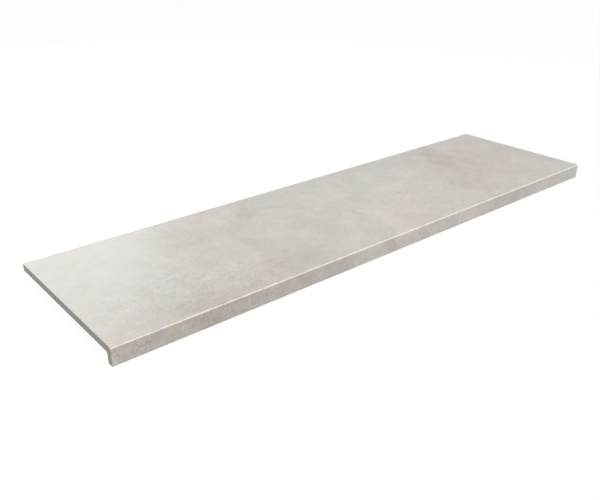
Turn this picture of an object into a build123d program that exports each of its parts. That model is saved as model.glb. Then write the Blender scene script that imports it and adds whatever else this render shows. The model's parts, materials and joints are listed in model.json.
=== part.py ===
"""Stair tread tile: one piece of pressed porcelain stoneware with a dropped front lip.

Row frame, in millimetres: X runs along the nosing, Y from the front of the lip to the back edge,
Z up. The origin is the middle of the tile at the height of the lip's foot, so the walking face
looks up and lies level, as it does on a flight of stairs.
"""

import os

from build123d import *

# The outline of the tile
LENGTH = 1200.0  # along the nosing
DEPTH = 330.0  # front of the lip to the back edge
DROP = 32.0  # walking face to the foot of the lip
TREAD_THICKNESS = 13.0  # walking face to the lands of the back relief
LIP_THICKNESS = 12.5

# Its edges
NOSE_RADIUS = 3.0  # rounded front edge, between walking face and lip
INNER_FILLET = 3.0  # where the lip meets the underside
TOE_RADIUS = 1.2  # both long edges of the lip's foot
EDGE_BEVEL = 0.8  # ground bevel round the face, at both ends and along the back

# The keying relief pressed into the underside: shallow square pockets with sloping sides
POCKET_SIDE = 24.0  # about, at the mouth: a whole number of pockets fills the field
POCKET_DEPTH = 0.9
POCKET_TAPER = 50.0  # lean of a pocket's sides from upright, in degrees
RIB_WIDTH = 4.0  # land between two pockets
BORDER_WIDTH = 9.0  # plain land round the field, up to the edges and the inner fillet

FRONT = -DEPTH / 2
BACK = DEPTH / 2
UNDERSIDE = DROP - TREAD_THICKNESS
LIP_BACK = FRONT + LIP_THICKNESS


def tile_section():
    """The L-shaped section with its rounded edges, as a face in the YZ plane."""
    outline = Polyline(
        (FRONT, 0),
        (FRONT, DROP),
        (BACK, DROP),
        (BACK, UNDERSIDE),
        (LIP_BACK, UNDERSIDE),
        (LIP_BACK, 0),
        close=True,
    )
    section = make_face(outline)

    def corner(y, z):
        return section.vertices().sort_by_distance((y, z, 0))[0]

    section = fillet(corner(FRONT, DROP), NOSE_RADIUS)
    section = fillet(corner(LIP_BACK, UNDERSIDE), INNER_FILLET)
    section = fillet([corner(FRONT, 0), corner(LIP_BACK, 0)], TOE_RADIUS)
    return Plane.YZ * section


def bevel_face_edges(tile):
    """Bevel the edges round the face: the back edge, and the two ends over tread, nose and lip."""
    back_edge = tile.edges().filter_by(Axis.X).group_by(Axis.Z)[-1].sort_by(Axis.Y)[-1]
    ends = tile.faces().filter_by(Axis.X)
    face_side = [
        edge
        for edge in ends.edges()
        if edge.center().Z > DROP - NOSE_RADIUS or edge.center().Y < FRONT + TOE_RADIUS / 2
    ]
    return chamfer([back_edge, *face_side], EDGE_BEVEL)


def pocket_row(field):
    """How many pockets fill a field of this width with a rib between each two, and their pitch."""
    count = round((field + RIB_WIDTH) / (POCKET_SIDE + RIB_WIDTH))
    return count, (field + RIB_WIDTH) / count


def relief_pockets():
    """The pockets of the keying relief, as cutting solids that open through the underside."""
    field_front = LIP_BACK + INNER_FILLET + BORDER_WIDTH
    field_back = BACK - BORDER_WIDTH
    columns, column_pitch = pocket_row(LENGTH - 2 * BORDER_WIDTH)
    rows, row_pitch = pocket_row(field_back - field_front)
    mouth = Rectangle(column_pitch - RIB_WIDTH, row_pitch - RIB_WIDTH)
    pocket = extrude(mouth, POCKET_DEPTH, taper=POCKET_TAPER)
    field_middle = Location((0, (field_front + field_back) / 2, UNDERSIDE))
    places = GridLocations(column_pitch, row_pitch, columns, rows)
    return [field_middle * place * pocket for place in places]


def stair_tread():
    tile = extrude(tile_section(), LENGTH / 2, both=True)
    tile = bevel_face_edges(tile)
    return tile - relief_pockets()


os.makedirs("parts", exist_ok=True)
export_step(stair_tread(), "parts/stair_tread.step")
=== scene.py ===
"""Dresses the stair tread tile: a finely modelled slab, its fired surfaces, the studio and the camera.

Everything is in metres in the row frame: X along the nosing, Y from the front of the lip to the
back edge, Z up, with the foot of the lip at zero.
"""

import json
import math

import bpy
from mathutils import Euler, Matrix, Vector, noise


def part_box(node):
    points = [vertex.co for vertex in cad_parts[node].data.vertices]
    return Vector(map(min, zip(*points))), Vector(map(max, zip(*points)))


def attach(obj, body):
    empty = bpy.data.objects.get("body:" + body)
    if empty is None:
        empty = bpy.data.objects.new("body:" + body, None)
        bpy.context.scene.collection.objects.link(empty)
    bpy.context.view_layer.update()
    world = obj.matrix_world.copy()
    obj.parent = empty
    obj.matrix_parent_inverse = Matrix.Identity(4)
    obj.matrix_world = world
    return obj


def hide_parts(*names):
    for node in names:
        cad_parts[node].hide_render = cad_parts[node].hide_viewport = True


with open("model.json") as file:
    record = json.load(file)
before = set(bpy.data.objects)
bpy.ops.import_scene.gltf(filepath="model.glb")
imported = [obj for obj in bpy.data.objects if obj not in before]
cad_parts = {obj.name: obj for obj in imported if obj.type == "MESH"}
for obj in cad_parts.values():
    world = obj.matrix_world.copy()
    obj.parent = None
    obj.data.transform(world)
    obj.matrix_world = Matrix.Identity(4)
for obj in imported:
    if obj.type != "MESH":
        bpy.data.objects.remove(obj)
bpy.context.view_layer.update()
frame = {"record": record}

# The slab, as the frame holds it
low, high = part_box("stair_tread")
mounts = {m["name"]: Vector(m["pos_m"]) for m in frame["record"]["mounts"]}
FRONT, BACK, TOP = low[1], high[1], high[2]
HALF_LENGTH = high[0]
UNDERSIDE = mounts["bedding_face"].z
LIP_BACK = mounts["lip_back_face"].y

# Its edges and the relief under it, as in the part
NOSE_RADIUS = 0.003
INNER_FILLET = 0.003
TOE_RADIUS = 0.0012
EDGE_BEVEL = 0.0008
POCKET_SIDE = 0.024
POCKET_DEPTH = 0.0009
POCKET_RUN = 0.00107  # how far a pocket's side leans in over its depth
POCKET_CORNER = 0.0022  # rounding of a pocket's corners in plan
RIB_WIDTH = 0.004
BORDER_WIDTH = 0.009
POCKET_STEPS = [  # a pocket's side as (inset, depth), from its mouth to its floor
    (0.0, 0.0),
    (POCKET_RUN * 0.22, POCKET_DEPTH * 0.13),
    (POCKET_RUN * 0.85, POCKET_DEPTH * 0.87),
    (POCKET_RUN * 1.15, POCKET_DEPTH),
]

# How fine the mesh is
TOP_CELL = 0.004
STATIONS_PER_POCKET = 7
ARC_STEPS = 10
CORNER_STEPS = 4
SUPPORT = 0.0004  # a row of vertices this far in from an arris keeps the faces beside it flat

# The walking face: a gentle press-mould relief, never above the CAD face
SWELL = 0.00010  # deepest hollow of the long waves
SWELL_SCALE = 7.0  # waves in a metre
GRAIN_RELIEF = 0.00003  # and of the short ones
GRAIN_RELIEF_SCALE = 70.0

# How unevenly the arrises are ground: share of their width, and changes in a metre
SLOW_WEAR, SLOW_WEAR_SCALE = 0.22, 25.0
FINE_WEAR, FINE_WEAR_SCALE = 0.12, 90.0

# How pale the arrises are painted, a painted highlight, from none at 0 to all at 1
BEVEL_HIGHLIGHT = 0.6  # along the back edge
END_HIGHLIGHT = 0.35  # round the ends
NOSE_HIGHLIGHT_PLACE = 0.67  # share of the nose's arc at which it is palest
NOSE_HIGHLIGHT_SPREAD = 0.25

FACE, BODY, REVERSE = 0, 1, 2  # material slots of the slab: printed face, cut body, reverse


def spaced(start, stop, step):
    """Evenly spaced values from start to stop, about a step apart, both ends included."""
    count = max(1, round(abs(stop - start) / step))
    return [start + (stop - start) * i / count for i in range(count + 1)]


def arc(y, z, radius, start, stop, steps):
    """Points on an arc in the YZ plane about a centre, between two angles in degrees."""
    angles = [math.radians(start + (stop - start) * i / steps) for i in range(steps + 1)]
    return [(y + radius * math.cos(a), z + radius * math.sin(a)) for a in angles]


def pocket_row(width):
    """How many pockets fill a field of this width with a rib between each two, and their pitch."""
    count = round((width + RIB_WIDTH) / (POCKET_SIDE + RIB_WIDTH))
    return count, (width + RIB_WIDTH) / count


FIELD_FRONT = LIP_BACK + INNER_FILLET + BORDER_WIDTH - RIB_WIDTH / 2
FIELD_BACK = BACK - BORDER_WIDTH + RIB_WIDTH / 2
FIELD_HALF = HALF_LENGTH - BORDER_WIDTH + RIB_WIDTH / 2
COLUMNS, COLUMN_PITCH = pocket_row(2 * FIELD_HALF - RIB_WIDTH)
ROWS, ROW_PITCH = pocket_row(FIELD_BACK - FIELD_FRONT - RIB_WIDTH)


def section():
    """The slab's outline from the back of the walking face, over nose and lip, to the back edge.

    Each point is (y, z, slot of the face after it, inset at the ends, paleness of the arris, a painted
    highlight).
    """
    points = []

    # How strongly the nose is painted pale along its arc: a painted highlight
    def nose_highlight(share):
        return math.exp(-((share - NOSE_HIGHLIGHT_PLACE) / NOSE_HIGHLIGHT_SPREAD) ** 2)

    def add(run, slot, inset=0.0, pale=0.0):
        for k, (y, z) in enumerate(run):
            share = k / max(1, len(run) - 1)
            now = inset(share) if callable(inset) else inset
            points.append((y, z, slot, now, pale(share) if callable(pale) else pale))

    nose_y, nose_z = FRONT + NOSE_RADIUS, TOP - NOSE_RADIUS
    bevel_y, bevel_z = BACK - EDGE_BEVEL, TOP - EDGE_BEVEL
    top_rows = spaced(bevel_y - SUPPORT, nose_y + SUPPORT, TOP_CELL)
    add([(bevel_y, TOP)], FACE, 1.0, BEVEL_HIGHLIGHT)
    add([(y, TOP) for y in top_rows], FACE, 1.0)
    add(arc(nose_y, nose_z, NOSE_RADIUS, 90, 180, ARC_STEPS), FACE, 1.0, nose_highlight)
    lip_rows = spaced(nose_z - SUPPORT, TOE_RADIUS + SUPPORT, TOP_CELL)
    add([(FRONT, z) for z in lip_rows], FACE, 1.0)
    toe = arc(FRONT + TOE_RADIUS, TOE_RADIUS, TOE_RADIUS, 180, 270, ARC_STEPS // 2)
    add(toe[:-1], FACE, lambda share: 1.0 - share)
    heel = arc(LIP_BACK - TOE_RADIUS, TOE_RADIUS, TOE_RADIUS, 270, 360, ARC_STEPS // 2)
    add([toe[-1]], BODY)
    add(heel, REVERSE)
    add([(LIP_BACK, UNDERSIDE - INNER_FILLET - SUPPORT)], REVERSE)
    fillet_y, fillet_z = LIP_BACK + INNER_FILLET, UNDERSIDE - INNER_FILLET
    add(arc(fillet_y, fillet_z, INNER_FILLET, 180, 90, ARC_STEPS), REVERSE)
    add([(fillet_y + SUPPORT, UNDERSIDE)], REVERSE)
    add([(FIELD_FRONT + ROW_PITCH * r, UNDERSIDE) for r in range(ROWS + 1)], REVERSE)
    add([(BACK, UNDERSIDE)], BODY)
    add([(BACK, bevel_z)], FACE, 0.0, BEVEL_HIGHLIGHT)
    return points


def stations():
    """The slab's cross-sections as (x, share of the end bevel that is cut away there)."""
    softened_bevel = [(0.0, 1.15), (0.1, 0.92), (0.92, 0.1), (1.15, 0.0)]
    end = [(EDGE_BEVEL * along, share) for along, share in softened_bevel]
    end.append((end[-1][0] + SUPPORT, 0.0))
    end.append(((end[-1][0] + HALF_LENGTH - FIELD_HALF) / 2, 0.0))
    left = [(x - HALF_LENGTH, share) for x, share in end]
    step = COLUMN_PITCH / STATIONS_PER_POCKET
    middle = [(i * step - FIELD_HALF, 0.0) for i in range(COLUMNS * STATIONS_PER_POCKET + 1)]
    right = [(-x, share) for x, share in reversed(left)]
    return left + middle + right


def relief(x, y):
    """How deep the walking face lies below the CAD face at a place."""
    place = Vector((x * SWELL_SCALE, y * SWELL_SCALE, 3.1))
    long_waves = 0.5 + 0.5 * noise.fractal(place, 0.6, 2.0, 3)
    place = Vector((x * GRAIN_RELIEF_SCALE, y * GRAIN_RELIEF_SCALE, 8.7))
    short_waves = 0.5 + 0.5 * noise.noise(place)
    return SWELL * min(max(long_waves, 0), 1) + GRAIN_RELIEF * short_waves


def unevenness(x, y, z):
    """A factor near one for how wide an arris is ground at a place."""
    place = Vector((x, y, z))
    slow = noise.noise(place * SLOW_WEAR_SCALE)
    fine = noise.noise(place * FINE_WEAR_SCALE)
    return 1 + SLOW_WEAR * slow + FINE_WEAR * fine


class Slab:
    """Collects the vertices, faces and the arrises' painted highlight of the slab's mesh."""

    def __init__(self):
        self.points = section()
        self.stations = stations()
        self.verts = []
        self.pale = []
        self.faces = []
        self.slots = []
        self.smooth = []
        self.made = {}
        first = [i for i, p in enumerate(self.points) if p[:2] == (FIELD_FRONT, UNDERSIDE)]
        self.first_row = first[0]
        self.first_column = [i for i, s in enumerate(self.stations) if s[0] == -FIELD_HALF][0]

    def vertex(self, place, pale=0.0):
        self.verts.append(place)
        self.pale.append(pale)
        return len(self.verts) - 1

    def face(self, corners, slot, smooth):
        self.faces.append(corners)
        self.slots.append(slot)
        self.smooth.append(smooth)

    def outward(self, j):
        """The outline's outward direction at a point of the section."""
        before = self.points[j - 1]
        after = self.points[(j + 1) % len(self.points)]
        return Vector((0, after[1] - before[1], before[0] - after[0])).normalized()

    def at(self, i, j):
        """The vertex of cross-section i at point j of the outline."""
        j %= len(self.points)
        if (i, j) not in self.made:
            x, cut = self.stations[i]
            y, z, _, inset, pale = self.points[j]
            place = Vector((x, y, z))
            if inset and cut:
                depth = EDGE_BEVEL * cut * inset * unevenness(x, y, z)
                place -= self.outward(j) * depth
                # The cut end bevels near the top take the painted highlight too
                if z > TOP - NOSE_RADIUS:
                    pale = max(pale, END_HIGHLIGHT)
            elif z == TOP and FRONT + NOSE_RADIUS < y < BACK - EDGE_BEVEL:
                place.z -= relief(x, y)
            self.made[i, j] = self.vertex(place, pale)
        return self.made[i, j]

    def in_field(self, i, j):
        column = i - self.first_column
        row = j - self.first_row
        return 0 <= column < COLUMNS * STATIONS_PER_POCKET and 0 <= row < ROWS

    def skin(self):
        """The slab's outer skin, apart from the ends and the relief."""
        for i in range(len(self.stations) - 1):
            for j, (_, _, slot, _, _) in enumerate(self.points):
                if self.in_field(i, j):
                    continue
                near = (self.at(i, j), self.at(i, j + 1))
                far = (self.at(i + 1, j + 1), self.at(i + 1, j))
                self.face(near + far, slot, slot == FACE or self.curved(j))

    def curved(self, j):
        """Whether the stretch after a point of the outline belongs to a rounded corner."""
        y, z = self.points[j][:2]
        after = self.points[(j + 1) % len(self.points)]
        return abs(y - after[0]) > 1e-9 and abs(z - after[1]) > 1e-9

    def ends(self):
        count = len(self.points)
        last = len(self.stations) - 1
        self.face([self.at(0, j) for j in reversed(range(count))], BODY, False)
        self.face([self.at(last, j) for j in range(count)], BODY, False)

    def pocket(self, column, row):
        """One pocket of the relief with the land round it, up to its cell's corners."""
        i0 = self.first_column + column * STATIONS_PER_POCKET
        i1 = i0 + STATIONS_PER_POCKET
        j0, j1 = self.first_row + row, self.first_row + row + 1
        across = range(i0, i1 + 1)
        front = [self.at(i, j0) for i in (across if row == 0 else (i0, i1))]
        back = [self.at(i, j1) for i in (across if row == ROWS - 1 else (i0, i1))]
        sides = [
            [self.at(i1, j0), self.at(i1, j1)],
            back[::-1],
            [self.at(i0, j1), self.at(i0, j0)],
            front,
        ]
        x = self.stations[i0][0] + COLUMN_PITCH / 2
        y = self.points[j0][0] + ROW_PITCH / 2
        rings = [self.ring(x, y, inset, depth) for inset, depth in POCKET_STEPS]
        mouth = rings[0]
        quarter = len(mouth) // 4
        for side, outer in enumerate(sides):
            inner = [mouth[(side * quarter + k) % len(mouth)] for k in range(quarter + 1)]
            self.face(inner + outer[::-1], REVERSE, False)
        for outer, inner in zip(rings, rings[1:]):
            for k in range(len(outer)):
                after = (k + 1) % len(outer)
                self.face((outer[k], inner[k], inner[after], outer[after]), REVERSE, True)
        self.face(rings[-1][::-1], REVERSE, False)

    def ring(self, x, y, inset, depth):
        """A rounded rectangle of vertices inside a pocket, from its front right corner on."""
        half_x = (COLUMN_PITCH - RIB_WIDTH) / 2 - inset
        half_y = (ROW_PITCH - RIB_WIDTH) / 2 - inset
        radius = max(POCKET_CORNER - inset, POCKET_CORNER / 3)
        ring = []
        corners = ((1, -1, -90), (1, 1, 0), (-1, 1, 90), (-1, -1, 180))
        for sign_x, sign_y, start in corners:
            centre_x = x + sign_x * (half_x - radius)
            centre_y = y + sign_y * (half_y - radius)
            for k in range(CORNER_STEPS + 1):
                angle = math.radians(start + 90 * k / CORNER_STEPS)
                place = (
                    centre_x + radius * math.cos(angle),
                    centre_y + radius * math.sin(angle),
                    UNDERSIDE + depth,
                )
                ring.append(self.vertex(Vector(place)))
        middle = CORNER_STEPS // 2
        return ring[middle:] + ring[:middle]


def build_slab():
    slab = Slab()
    slab.skin()
    slab.ends()
    for column in range(COLUMNS):
        for row in range(ROWS):
            slab.pocket(column, row)
    mesh = bpy.data.meshes.new("tread_slab")
    mesh.from_pydata([tuple(v) for v in slab.verts], [], slab.faces)
    mesh.polygons.foreach_set("material_index", slab.slots)
    mesh.polygons.foreach_set("use_smooth", slab.smooth)
    arris = mesh.attributes.new("arris", "FLOAT", "POINT")
    arris.data.foreach_set("value", slab.pale)
    mesh.update()
    mesh.validate()
    piece = bpy.data.objects.new("tread_slab", mesh)
    bpy.context.scene.collection.objects.link(piece)
    return piece


def srgb(red, green, blue):
    """A colour given on the usual 0 to 255 scale, as the linear values that nodes take."""
    def linear(value):
        value /= 255
        return value / 12.92 if value <= 0.04045 else ((value + 0.055) / 1.055) ** 2.4
    return (linear(red), linear(green), linear(blue), 1.0)


def grey(level):
    """A plain linear grey, as nodes take it."""
    return (level, level, level, 1.0)


# The part of its range that a soft noise mostly stays in
NOISE_LOW, NOISE_HIGH = 0.3, 0.7


class Graph:
    """Short ways to add the nodes of one material."""

    def __init__(self, name):
        self.material = bpy.data.materials.new(name)
        self.material.use_nodes = True
        self.tree = self.material.node_tree
        self.shader = self.tree.nodes["Principled BSDF"]
        self.coords = self.node("ShaderNodeTexCoord").outputs["Object"]

    def put(self, socket, value):
        if isinstance(value, bpy.types.NodeSocket):
            self.tree.links.new(value, socket)
        else:
            socket.default_value = value

    def node(self, kind, inputs=None, **settings):
        node = self.tree.nodes.new(kind)
        for name, value in settings.items():
            setattr(node, name, value)
        for name, value in (inputs or {}).items():
            self.put(node.inputs[name], value)
        return node

    def noise(self, scale, detail=4.0, rough=0.5, vector=None, distortion=0.0, output="Fac"):
        node = self.node(
            "ShaderNodeTexNoise",
            {
                "Vector": self.coords if vector is None else vector,
                "Scale": scale,
                "Detail": detail,
                "Roughness": rough,
                "Distortion": distortion,
            },
        )
        return node.outputs[output]

    def math(self, operation, first, second=0.0):
        node = self.node("ShaderNodeMath", operation=operation)
        self.put(node.inputs[0], first)
        self.put(node.inputs[1], second)
        return node.outputs[0]

    def span(self, value, low_in, high_in, low_out=0.0, high_out=1.0):
        """A value carried smoothly from one range to another."""
        inputs = {
            "Value": value,
            "From Min": low_in,
            "From Max": high_in,
            "To Min": low_out,
            "To Max": high_out,
        }
        node = self.node("ShaderNodeMapRange", inputs, interpolation_type="SMOOTHSTEP")
        return node.outputs["Result"]

    def swing(self, noise, amount):
        """A noise carried to a range of plus or minus an amount."""
        return self.span(noise, NOISE_LOW, NOISE_HIGH, -amount, amount)

    def mix(self, factor, first, second, blend="MIX"):
        """A mix of two colours, which are the node's inputs 6 and 7 and its output 2."""
        node = self.node("ShaderNodeMix", data_type="RGBA", blend_type=blend)
        self.put(node.inputs[0], factor)
        self.put(node.inputs[6], first)
        self.put(node.inputs[7], second)
        return node.outputs[2]

    def tinted(self, colour, tint, share=1.0):
        """A colour times a tint or a plain number, as strongly as the share says."""
        product = self.mix(1.0, colour, tint, "MULTIPLY")
        return product if share == 1.0 else self.mix(share, colour, product)

    def scaled(self, factor, vector=None):
        """The coordinates, stretched by a factor along each axis."""
        source = self.coords if vector is None else vector
        node = self.node("ShaderNodeVectorMath", operation="MULTIPLY")
        self.put(node.inputs[0], source)
        self.put(node.inputs[1], factor)
        return node.outputs[0]

    def warped(self, scale, amount):
        """The coordinates pushed about by a soft noise, so that what reads them has loose edges."""
        shift = self.node("ShaderNodeVectorMath", operation="SUBTRACT")
        self.put(shift.inputs[0], self.noise(scale, 3.0, output="Color"))
        self.put(shift.inputs[1], (0.5, 0.5, 0.5))
        warp = self.node("ShaderNodeVectorMath", operation="MULTIPLY_ADD")
        self.put(warp.inputs[0], shift.outputs[0])
        self.put(warp.inputs[1], (amount, amount, amount))
        self.put(warp.inputs[2], self.coords)
        return warp.outputs[0]

    def bump(self, height, strength, distance):
        inputs = {"Height": height, "Strength": strength, "Distance": distance}
        return self.node("ShaderNodeBump", inputs).outputs["Normal"]


# Tints of the soft stains in the print, each a factor on the colour under it
RUST = (0.905, 0.868, 0.830, 1.0)
UMBER = (0.930, 0.902, 0.876, 1.0)
SAND = (0.990, 0.962, 0.932, 1.0)
ROSE = (1.000, 0.972, 0.962, 1.0)
OLIVE = (0.965, 0.970, 0.935, 1.0)
CHALK = (1.035, 1.030, 1.030, 1.0)
SLATE = (0.972, 0.976, 0.974, 1.0)
BUFF = (0.985, 0.976, 0.964, 1.0)
PEARL = (1.010, 1.012, 1.016, 1.0)
MIST = (0.975, 1.008, 1.010, 1.0)
TAUPE = (0.955, 0.938, 0.918, 1.0)
MAUVE = (0.962, 0.942, 0.940, 1.0)

# Where they lie on the face: centre, half size, turn in degrees, tint and strength
STAINS = [
    ((0.440, 0.010), (0.160, 0.130), 25, SAND, 1.00),
    ((0.310, 0.010), (0.100, 0.070), 35, SAND, 0.80),
    ((0.383, 0.087), (0.125, 0.054), 58, RUST, 0.85),
    ((0.310, -0.067), (0.075, 0.055), 20, UMBER, 0.75),
    ((0.320, -0.125), (0.070, 0.035), 15, SAND, 0.90),
    ((0.420, 0.018), (0.045, 0.024), 60, UMBER, 0.50),
    ((0.480, 0.105), (0.035, 0.025), 20, ROSE, 0.90),
    ((0.510, 0.130), (0.060, 0.030), 20, OLIVE, 0.90),
    ((0.500, -0.100), (0.130, 0.060), 15, SLATE, 0.50),
    ((0.530, -0.105), (0.040, 0.025), 15, ROSE, 0.90),
    ((0.587, 0.020), (0.045, 0.200), 0, SLATE, 1.00),
    ((0.285, 0.100), (0.080, 0.050), 35, SLATE, 0.60),
    ((0.170, 0.035), (0.090, 0.060), 30, ROSE, 0.80),
    ((0.190, 0.020), (0.035, 0.025), 30, CHALK, 1.00),
    ((0.185, 0.055), (0.120, 0.090), 35, CHALK, 1.00),
    ((0.060, -0.090), (0.110, 0.075), 30, ROSE, 0.35),
    ((0.045, 0.040), (0.120, 0.070), 10, SLATE, 0.55),
    ((-0.010, -0.115), (0.170, 0.085), 5, CHALK, 1.00),
    ((-0.060, -0.110), (0.130, 0.080), 10, MIST, 0.80),
    ((-0.125, -0.020), (0.045, 0.045), 15, TAUPE, 0.60),
    ((-0.165, 0.120), (0.075, 0.034), 50, RUST, 0.40),
    ((-0.205, 0.075), (0.060, 0.025), 50, UMBER, 0.50),
    ((-0.253, -0.014), (0.034, 0.018), 105, RUST, 0.55),
    ((-0.245, -0.050), (0.045, 0.030), 70, TAUPE, 0.80),
    ((-0.300, 0.055), (0.060, 0.035), 20, OLIVE, 0.80),
    ((-0.360, 0.085), (0.090, 0.060), 60, TAUPE, 0.80),
    ((-0.330, -0.132), (0.230, 0.080), 0, UMBER, 0.70),
    ((-0.430, -0.150), (0.150, 0.040), 10, UMBER, 0.50),
    ((-0.270, -0.115), (0.050, 0.040), 20, ROSE, 1.00),
    ((-0.520, -0.165), (0.190, 0.075), 0, TAUPE, 0.70),
    ((-0.500, -0.105), (0.150, 0.110), 0, SLATE, 1.00),
    ((-0.485, -0.125), (0.055, 0.090), 0, TAUPE, 0.50),
    ((-0.430, -0.060), (0.130, 0.060), 20, SLATE, 1.00),
    ((0.030, -0.010), (0.260, 0.170), 0, CHALK, 0.80),
    ((-0.520, 0.080), (0.230, 0.180), 0, MIST, 0.65),
    ((-0.590, -0.080), (0.050, 0.120), 0, CHALK, 0.60),
]

# And along the lip: distance from the middle, half length, tint and strength
LIP_STAINS = [
    (-0.360, 0.260, MAUVE, 0.65),
    (-0.555, 0.060, MAUVE, 0.80),
    (-0.420, 0.070, CHALK, 0.70),
    (-0.265, 0.060, UMBER, 0.50),
    (-0.170, 0.055, UMBER, 0.90),
    (-0.010, 0.050, OLIVE, 0.60),
    (0.065, 0.060, TAUPE, 0.85),
    (0.290, 0.045, OLIVE, 0.80),
    (0.365, 0.070, TAUPE, 0.70),
    (0.480, 0.060, TAUPE, 0.50),
]

# Where the print is more speckled: centre, half size and how much
SPECKLED = [
    ((-0.410, -0.105), (0.240, 0.115), 0.60),
    ((-0.270, -0.130), (0.120, 0.080), 0.25),
    ((0.370, -0.130), (0.080, 0.040), 0.50),
    ((-0.570, -0.165), (0.080, 0.030), 0.60),
    ((-0.540, 0.090), (0.200, 0.160), -0.25),
]

# The lip: a little darker, which is painted shade, and the clouds and speckle of its print stronger
LIP_PAINTED_SHADE = -0.02
LIP_CLOUDS = 1.9
LIP_SPECKLE = 0.5

PATCH_HEIGHT = 0.25  # how far a stain reaches up and down, well past the lip
LIP_STAIN_DEPTH = 0.1  # and a lip stain from front to back, though it shows on the lip only
STAIN_EDGE = (0.20, 0.50)  # where a stain begins and where it is full, from 0 at its rim to 1

# Colours of the printed face, on the 0 to 255 scale
FACE_COOL = (197, 193, 187)
FACE_WARM = (198, 192, 185)
FACE_DOTS = (150, 142, 132)
# The near white that the arrises are mixed towards: a painted highlight
ARRIS_HIGHLIGHT = (247, 241, 233)

# How close together the marks of the print are, as noise scales for a metre
TINT_SCALE = 3.2
BUSY_SCALE = 5.5
LOOSE_SCALE = 7.0
VEIN_SCALE = 8.0
CLOUD_SCALE = 13.0
FRAY_SCALE = 24.0
FLAKE_SCALE = 30.0
BLUSH_SCALE = 55.0
DOTTED_SCALE = 60.0  # the places that have dots
FLECK_SCALE = 90.0
DOT_SCALE = 95.0
GRAIN_SCALE = 260.0

# How strong they are, as shares of the colour under them
CLOUD_DEPTH = 0.06
VEIN_DEPTH = 0.03
FLECK_DEPTH = 0.07
GRAIN_DEPTH = 0.08
BLUSH_DEPTH = 0.20
DOT_DEPTH = 0.35

FACE_ROUGH = (0.34, 0.44)
POLISH = 0.10  # how much less rough the arrises are
BUMP_DISTANCE = 0.0002


class FacePrint(Graph):
    """The printed face's nodes, with the coordinates and noises that its marks share."""

    def __init__(self):
        super().__init__("porcelain_face")
        self.loose = self.warped(LOOSE_SCALE, 0.05)
        self.fray = self.math("SUBTRACT", self.noise(FRAY_SCALE, 6.0, 0.65, self.loose), 0.5)
        self.depth = self.node("ShaderNodeSeparateXYZ", {0: self.coords}).outputs["Y"]
        self.clouds = self.noise(CLOUD_SCALE, 6.0, 0.6, self.loose)
        self.flakes = self.noise(FLAKE_SCALE, 5.0, 0.55, self.warped(20.0, 0.02))
        self.flecks = self.noise(FLECK_SCALE, 2.0, 0.5)
        self.grain = self.noise(GRAIN_SCALE, 3.0, 0.65)

    def lip_or_tread(self, on_lip, on_tread):
        """One value on the lip and another on the tread, blended round the nose."""
        return self.span(self.depth, FRONT, FRONT + NOSE_RADIUS, on_lip, on_tread)

    def patch(self, centre, half_size, turn=0.0, strength=1.0):
        """A strength round a centre, falling to nothing at half_size from it, with a frayed edge."""
        mapping = self.node(
            "ShaderNodeMapping",
            {
                "Vector": self.loose,
                "Location": (centre[0], centre[1], TOP),
                "Rotation": (0.0, 0.0, math.radians(turn)),
                "Scale": (half_size[0], half_size[1], PATCH_HEIGHT),
            },
            vector_type="TEXTURE",
        )
        falloff = self.node(
            "ShaderNodeTexGradient",
            {"Vector": mapping.outputs[0]},
            gradient_type="SPHERICAL",
        )
        frayed = self.math("ADD", falloff.outputs["Fac"], self.fray)
        return self.math("MULTIPLY", self.span(frayed, *STAIN_EDGE), strength)

    def ground(self):
        """The colour under the marks, with the soft stains in it."""
        warmth = self.span(self.noise(TINT_SCALE, 3.0, vector=self.loose), 0.38, 0.62)
        colour = self.mix(warmth, srgb(*FACE_COOL), srgb(*FACE_WARM))
        for centre, half_size, turn, tint, strength in STAINS:
            colour = self.tinted(colour, tint, self.patch(centre, half_size, turn, strength))
        return self.tinted(colour, self.mix(self.span(self.flakes, 0.44, 0.56), BUFF, PEARL))

    def coarse_marks(self):
        """The clouds and the pale veins between them, stronger on the lip."""
        crossing = self.noise(VEIN_SCALE, 5.0, 0.55, self.loose, 1.2)
        veins = self.math("ABSOLUTE", self.math("SUBTRACT", crossing, 0.5))
        marks = self.math(
            "ADD",
            self.swing(self.clouds, CLOUD_DEPTH),
            self.span(veins, 0.0, 0.02, VEIN_DEPTH, 0.0),
        )
        return self.math("MULTIPLY", marks, self.lip_or_tread(LIP_CLOUDS, 1.0))

    def fine_marks(self):
        """The flecks and the grain, stronger where the print is busy."""
        pale = self.span(self.flecks, 0.55, 0.68, 0.0, FLECK_DEPTH)
        dark = self.span(self.flecks, 0.30, 0.43, -FLECK_DEPTH, 0.0)
        marks = self.math("ADD", pale, dark)
        marks = self.math("ADD", marks, self.swing(self.grain, GRAIN_DEPTH))
        busy = self.span(self.noise(BUSY_SCALE, 3.0, 0.6, self.loose), 0.42, 0.58, 0.32, 0.62)
        for centre, half_size, amount in SPECKLED:
            busy = self.math("ADD", busy, self.patch(centre, half_size, strength=amount))
        busy = self.math("ADD", busy, self.lip_or_tread(LIP_SPECKLE, 0.0))
        return self.math("MULTIPLY", marks, busy)

    def stained_lip(self, colour):
        lip = self.lip_or_tread(1.0, 0.0)
        for along, half_length, tint, strength in LIP_STAINS:
            place = self.patch((along, FRONT), (half_length, LIP_STAIN_DEPTH), strength=strength)
            colour = self.tinted(colour, tint, self.math("MULTIPLY", place, lip))
        return colour

    def dots(self):
        """Small scattered dots, in some places only."""
        cells = self.node("ShaderNodeTexVoronoi", {"Vector": self.coords, "Scale": DOT_SCALE})
        dot = self.span(cells.outputs["Distance"], 0.05, 0.14, 1.0, 0.0)
        return self.math("MULTIPLY", dot, self.span(self.noise(DOTTED_SCALE, 1.0), 0.58, 0.66))


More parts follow.
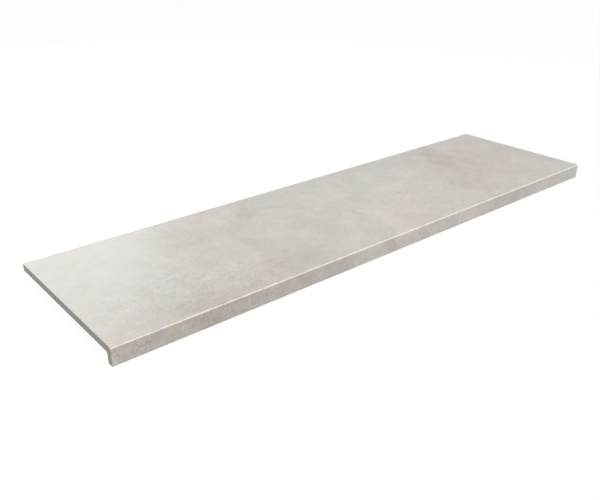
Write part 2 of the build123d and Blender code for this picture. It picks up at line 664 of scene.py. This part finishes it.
def face_material():
    """The printed and fired face: warm light grey with soft clouds and flecks, and arrises painted
    pale as a painted highlight.
    """
    g = FacePrint()
    marks = g.math("ADD", g.coarse_marks(), g.fine_marks())
    # The lip's colour is made a little darker here: painted shade
    tone = g.math("ADD", marks, g.lip_or_tread(1.0 + LIP_PAINTED_SHADE, 1.0))
    colour = g.stained_lip(g.tinted(g.ground(), tone))
    blush = g.noise(BLUSH_SCALE, 4.0, 0.75, output="Color")
    colour = g.mix(BLUSH_DEPTH, colour, blush, "SOFT_LIGHT")
    dots = g.dots()
    colour = g.mix(g.math("MULTIPLY", dots, DOT_DEPTH), colour, srgb(*FACE_DOTS))
    # The arrises are painted paler here: a painted highlight along the nose, the ends and the back
    # edge
    arris = g.node("ShaderNodeAttribute", attribute_name="arris").outputs["Fac"]
    painted_highlight = g.math("MULTIPLY", arris, g.span(g.flecks, 0.3, 0.6, 0.72, 1.0))
    colour = g.mix(painted_highlight, colour, srgb(*ARRIS_HIGHLIGHT))

    g.put(g.shader.inputs["Base Color"], colour)
    rough = g.span(g.clouds, NOISE_LOW, NOISE_HIGH, *FACE_ROUGH)
    rough = g.math("SUBTRACT", rough, g.math("MULTIPLY", arris, POLISH))
    g.put(g.shader.inputs["Roughness"], rough)
    height = g.math("ADD", g.grain, g.math("MULTIPLY", g.flakes, 1.5))
    height = g.math("SUBTRACT", height, dots)
    g.put(g.shader.inputs["Normal"], g.bump(height, 0.25, BUMP_DISTANCE))
    return g.material


# The cut body: its two greys, and the warmer grey of the lip's end below the tread
BODY_GREYS = (162, 160, 154), (168, 164, 157)
BODY_WARM = (173, 164, 155)
BODY_CLOUD_SCALE = 35.0
BODY_GRAIN_SCALE = 420.0
SAW_SCORE_SCALES = (900.0, 60.0, 900.0)  # along each axis
BODY_GRAIN_DEPTH = 0.06
SAW_SCORE_DEPTH = 0.03
BODY_ROUGH = (0.62, 0.74)


def body_material():
    """The cut and ground body at the ends, the foot and the back edge."""
    g = Graph("porcelain_body")
    grain = g.noise(BODY_GRAIN_SCALE, 4.0, 0.65)
    scores = g.noise(1.0, 3.0, 0.6, g.scaled(SAW_SCORE_SCALES))
    clouds = g.noise(BODY_CLOUD_SCALE, 4.0)
    colour = g.mix(g.span(clouds, 0.35, 0.65), srgb(*BODY_GREYS[0]), srgb(*BODY_GREYS[1]))
    level = g.node("ShaderNodeSeparateXYZ", {0: g.coords}).outputs["Z"]
    low = g.span(level, UNDERSIDE - INNER_FILLET, UNDERSIDE + INNER_FILLET, 0.8, 0.0)
    colour = g.mix(low, colour, srgb(*BODY_WARM))
    tone = g.math("ADD", g.swing(grain, BODY_GRAIN_DEPTH), 1.0)
    tone = g.math("ADD", tone, g.span(scores, 0.35, 0.65, -SAW_SCORE_DEPTH, SAW_SCORE_DEPTH))
    g.put(g.shader.inputs["Base Color"], g.tinted(colour, tone))
    g.put(g.shader.inputs["Roughness"], g.span(grain, NOISE_LOW, NOISE_HIGH, *BODY_ROUGH))
    g.put(g.shader.inputs["Normal"], g.bump(g.math("ADD", grain, scores), 0.3, BUMP_DISTANCE))
    return g.material


# The reverse: raw body, the kiln wash on it, and scuffs drawn out along the tile
REVERSE_BODY = (176, 169, 158)
REVERSE_WASH = (205, 201, 193)
REVERSE_SCUFF = (150, 143, 133)
WASH_SCALE = 14.0
SCUFF_SCALES = (6.0, 90.0, 90.0)  # along each axis
REVERSE_GRAIN_SCALE = 300.0
REVERSE_GRAIN_DEPTH = 0.05
REVERSE_ROUGH = (0.7, 0.9)
REVERSE_BUMP_DISTANCE = 0.00025


def reverse_material():
    """The pressed reverse: raw fired body with a thin, patchy kiln wash."""
    g = Graph("porcelain_reverse")
    loose = g.warped(9.0, 0.05)
    wash = g.span(g.noise(WASH_SCALE, 8.0, 0.65, loose), 0.36, 0.64)
    grain = g.noise(REVERSE_GRAIN_SCALE, 4.0, 0.65)
    colour = g.mix(wash, srgb(*REVERSE_BODY), srgb(*REVERSE_WASH))
    scuffs = g.noise(1.0, 4.0, 0.6, g.scaled(SCUFF_SCALES, loose))
    colour = g.mix(g.span(scuffs, 0.6, 0.74, 0.0, 0.3), colour, srgb(*REVERSE_SCUFF))
    tone = g.math("ADD", g.swing(grain, REVERSE_GRAIN_DEPTH), 1.0)
    g.put(g.shader.inputs["Base Color"], g.tinted(colour, tone))
    g.put(g.shader.inputs["Roughness"], g.span(wash, 0.0, 1.0, *REVERSE_ROUGH))
    g.put(g.shader.inputs["Normal"], g.bump(grain, 0.35, REVERSE_BUMP_DISTANCE))
    return g.material


def add_object(name, data, place=(0, 0, 0), look_at=None):
    obj = bpy.data.objects.new(name, data)
    obj.location = place
    if look_at is not None:
        obj.rotation_euler = (Vector(look_at) - Vector(place)).to_track_quat("-Z", "Y").to_euler()
    bpy.context.scene.collection.objects.link(obj)
    return obj


def softbox(name, place, size, power, look_at):
    """An area lamp that the camera doesn't see."""
    lamp = bpy.data.lights.new(name, "AREA")
    lamp.shape = "RECTANGLE"
    lamp.size, lamp.size_y = size
    lamp.energy = power
    add_object(name, lamp, place, look_at).visible_camera = False


def seen_directly(tree):
    """One for camera, glossy and transmission rays, which are to see the pale background."""
    path = tree.nodes.new("ShaderNodeLightPath")
    total = None
    for ray in ("Is Camera Ray", "Is Glossy Ray", "Is Transmission Ray"):
        if total is None:
            total = path.outputs[ray]
            continue
        either = tree.nodes.new("ShaderNodeMath")
        either.operation = "MAXIMUM"
        tree.links.new(total, either.inputs[0])
        tree.links.new(path.outputs[ray], either.inputs[1])
        total = either.outputs[0]
    return total


# The world's light from the two sides, and the floor: what it bounces, how much of a shadow
# the camera sees on it, and the glow that brings it up to white
WORLD_LEFT = 0.30
WORLD_RIGHT = 0.70
FLOOR_REACH = 8.0
FLOOR_PAPER = 0.8
FLOOR_SHADE = 0.07
FLOOR_GLOW = 0.942


def studio_world():
    """White where it is seen, and a soft light that is weaker from the left than from the right."""
    world = bpy.data.worlds.new("studio")
    world.use_nodes = True
    tree = world.node_tree
    tree.nodes.clear()
    direction = tree.nodes.new("ShaderNodeTexCoord")
    axes = tree.nodes.new("ShaderNodeSeparateXYZ")
    tree.links.new(direction.outputs["Generated"], axes.inputs[0])
    level = tree.nodes.new("ShaderNodeMapRange")
    level.inputs["From Min"].default_value = -1.0
    level.inputs["To Min"].default_value = WORLD_LEFT
    level.inputs["To Max"].default_value = WORLD_RIGHT
    tree.links.new(axes.outputs["X"], level.inputs["Value"])
    strength = tree.nodes.new("ShaderNodeMix")
    strength.inputs[3].default_value = 1.0
    tree.links.new(seen_directly(tree), strength.inputs[0])
    tree.links.new(level.outputs["Result"], strength.inputs[2])
    background = tree.nodes.new("ShaderNodeBackground")
    background.inputs["Color"].default_value = grey(1.0)
    tree.links.new(strength.outputs[0], background.inputs["Strength"])
    output = tree.nodes.new("ShaderNodeOutputWorld")
    tree.links.new(background.outputs[0], output.inputs[0])
    bpy.context.scene.world = world


def studio_floor():
    """A pale floor that shows white, with the tile's own soft shadow left on it."""
    mesh = bpy.data.meshes.new("floor")
    signs = ((-1, -1), (1, -1), (1, 1), (-1, 1))
    corners = [(FLOOR_REACH * x, FLOOR_REACH * y, 0) for x, y in signs]
    mesh.from_pydata(corners, [], [(0, 1, 2, 3)])
    material = bpy.data.materials.new("floor")
    material.use_nodes = True
    tree = material.node_tree
    tree.nodes.clear()
    paper = tree.nodes.new("ShaderNodeBsdfDiffuse")
    paper.inputs["Color"].default_value = grey(FLOOR_PAPER)
    shade = tree.nodes.new("ShaderNodeBsdfDiffuse")
    shade.inputs["Color"].default_value = grey(FLOOR_SHADE)
    glow = tree.nodes.new("ShaderNodeEmission")
    glow.inputs["Strength"].default_value = FLOOR_GLOW
    lit = tree.nodes.new("ShaderNodeAddShader")
    tree.links.new(shade.outputs[0], lit.inputs[0])
    tree.links.new(glow.outputs[0], lit.inputs[1])
    either = tree.nodes.new("ShaderNodeMixShader")
    tree.links.new(seen_directly(tree), either.inputs[0])
    tree.links.new(paper.outputs[0], either.inputs[1])
    tree.links.new(lit.outputs[0], either.inputs[2])
    output = tree.nodes.new("ShaderNodeOutputMaterial")
    tree.links.new(either.outputs[0], output.inputs[0])
    mesh.materials.append(material)
    add_object("floor", mesh)


# The softboxes: name, place, size, watts and what they point at
SOFTBOXES = [
    ("back_left_softbox", (-0.20, 2.14, 1.03), (1.6, 0.9), 15.0, (-0.45, 0.1, 0.0)),
    ("nosing_strip", (2.20, -2.20, 1.25), (4.6, 0.3), 22.0, (2.20, 0.0, 0.0)),
    ("overhead", (-0.70, -0.80, 2.00), (1.4, 1.0), 19.0, (-0.30, 0.0, 0.0)),
]

# A camera like the one that took the picture, worked out from the tile's edges in it
CAMERA_PLACE = (-0.9052, -0.9373, 0.5675)
CAMERA_YAW = 39.85  # degrees from +Y towards +X
CAMERA_PITCH = 26.065  # degrees down
CAMERA_LENS = 41.283  # mm
CAMERA_SENSOR = 36.0  # mm wide
CAMERA_REACH = 50.0  # how far it sees, past the floor


def camera():
    lens = bpy.data.cameras.new("camera")
    lens.lens = CAMERA_LENS
    lens.sensor_width = CAMERA_SENSOR
    lens.sensor_fit = "HORIZONTAL"
    lens.clip_end = CAMERA_REACH
    obj = add_object("camera", lens, CAMERA_PLACE)
    tilt = math.radians(90 - CAMERA_PITCH)
    obj.rotation_euler = Euler((tilt, 0.0, -math.radians(CAMERA_YAW)))
    bpy.context.scene.camera = obj


slab = build_slab()
for material in (face_material(), body_material(), reverse_material()):
    slab.data.materials.append(material)
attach(slab, "root")
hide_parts("stair_tread")

studio_world()
studio_floor()
for lamp in SOFTBOXES:
    softbox(*lamp)
camera()

bpy.context.scene.view_settings.view_transform = "Standard"
